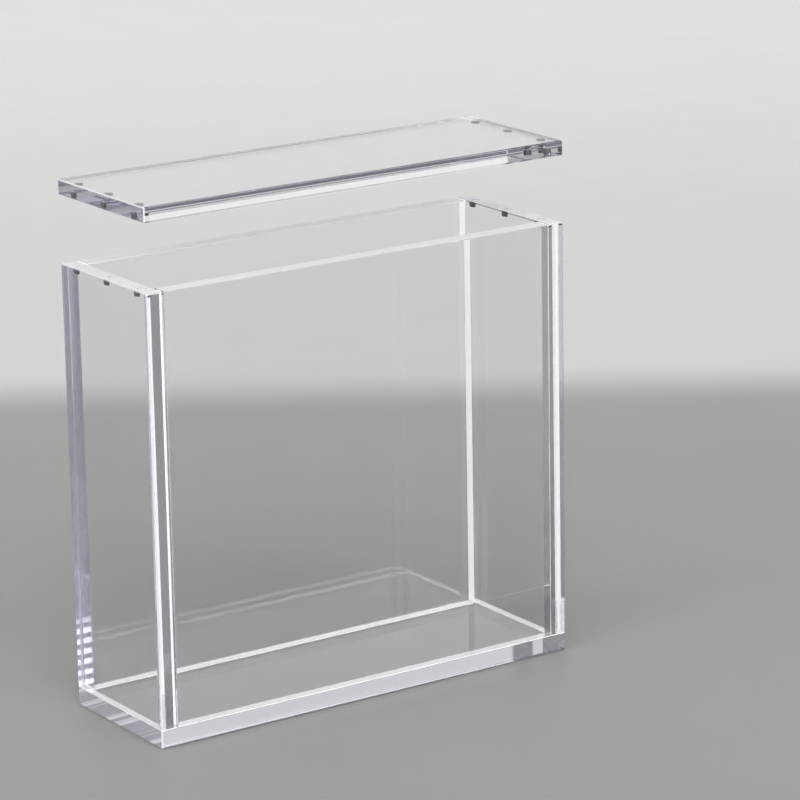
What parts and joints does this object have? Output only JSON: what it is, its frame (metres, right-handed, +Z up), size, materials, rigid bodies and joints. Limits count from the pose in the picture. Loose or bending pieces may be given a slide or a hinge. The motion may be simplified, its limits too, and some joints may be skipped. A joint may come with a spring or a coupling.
{
  "type": "display case",
  "caption": "Tall, shallow, clear acrylic display case, open at the top, with a flat lift-off lid that small disc magnets in the end walls hold in place.",
  "frame": {"origin": "centre of the base plate's underside, on the surface that the case stands on", "axes": "+X along the case to the right, +Y from the front panel to the rear panel, +Z up"},
  "size_m": [0.16, 0.053, 0.1765],
  "materials": {
    "acrylic": "clear cast acrylic sheet with polished edges",
    "magnet": "nickel-plated sintered magnet",
    "cement": "set white acrylic cement"
  },
  "bodies": {
    "case": {"base_plate": "acrylic", "left_end_panel": "acrylic", "right_end_panel": "acrylic", "front_panel": "acrylic", "rear_panel": "acrylic", "base_seam_front": "cement", "base_seam_rear": "cement", "base_seam_left": "cement", "base_seam_right": "cement", "corner_seam_front_left": "cement", "corner_seam_front_right": "cement", "corner_seam_rear_left": "cement", "corner_seam_rear_right": "cement", "left_wall_magnet_front": "magnet", "left_wall_magnet_middle": "magnet", "left_wall_magnet_rear": "magnet", "right_wall_magnet_front": "magnet", "right_wall_magnet_middle": "magnet", "right_wall_magnet_rear": "magnet"},
    "lid": {"lid_plate": "acrylic", "left_lid_magnet_front": "magnet", "left_lid_magnet_middle": "magnet", "left_lid_magnet_rear": "magnet", "right_lid_magnet_front": "magnet", "right_lid_magnet_middle": "magnet", "right_lid_magnet_rear": "magnet"}
  },
  "joints": [
    {"name": "lid_lift", "type": "slide", "parent": "case", "child": "lid", "axis": [0, 0, 1], "range_m": [-0.0223, 0.0775]}
  ]
}
